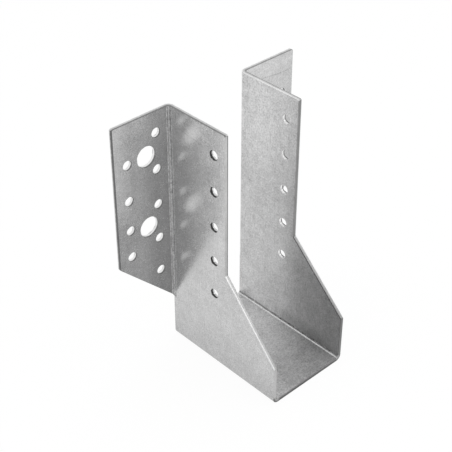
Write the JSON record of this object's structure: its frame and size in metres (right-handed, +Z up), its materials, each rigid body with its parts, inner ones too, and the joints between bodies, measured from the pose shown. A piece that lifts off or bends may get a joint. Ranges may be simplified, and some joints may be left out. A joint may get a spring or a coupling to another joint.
{
  "type": "joist hanger",
  "caption": "Joist hanger folded from galvanised steel sheet: an open-topped stirrup with a flat seat, slant-cut side plates and outward header flanges punched for nails and bolts.",
  "frame": {"origin": "on the underside of the seat, in the middle of the hanger's footprint", "axes": "+Z up, +Y towards the beam that carries it, X across the joist"},
  "size_m": [0.116, 0.075, 0.139],
  "materials": {
    "galvanised_steel": "galvanised, fine matt grain"
  },
  "bodies": {
    "root": {"joist_hanger": "galvanised_steel"}
  },
  "joints": []
}
